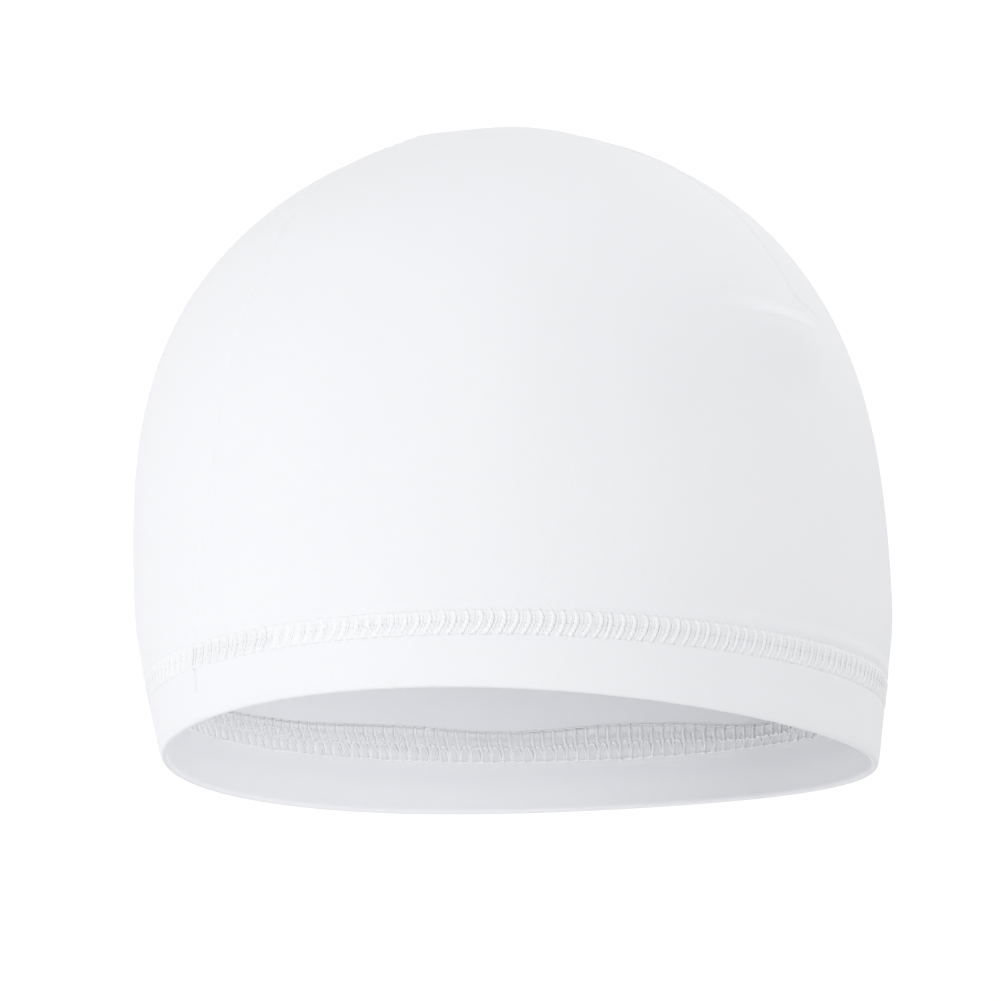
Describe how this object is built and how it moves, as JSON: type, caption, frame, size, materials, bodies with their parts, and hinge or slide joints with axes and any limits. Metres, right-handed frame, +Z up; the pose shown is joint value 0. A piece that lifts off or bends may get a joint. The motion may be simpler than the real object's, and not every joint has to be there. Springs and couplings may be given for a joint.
{
  "type": "helmet liner",
  "caption": "Thin close-fitting skull cap of white stretch jersey with a seamed crown, dart seams and a turned-up, flatlock-stitched hem.",
  "frame": {"origin": "top of the hollow, on the inside of the crown, where the cap bears on the wearer's head", "axes": "+Z up out of the crown, -Y the way the wearer looks, +X towards the wearer's left ear"},
  "size_m": [0.1609, 0.1955, 0.1598],
  "materials": {
    "jersey": "fine smooth knit, matte",
    "bound_edge": "overlocked knit edge, matte"
  },
  "bodies": {
    "root": {"cap_body": "jersey", "back_seam_allowance": "bound_edge", "right_dart_allowance": "bound_edge", "left_dart_allowance": "bound_edge"}
  },
  "joints": []
}
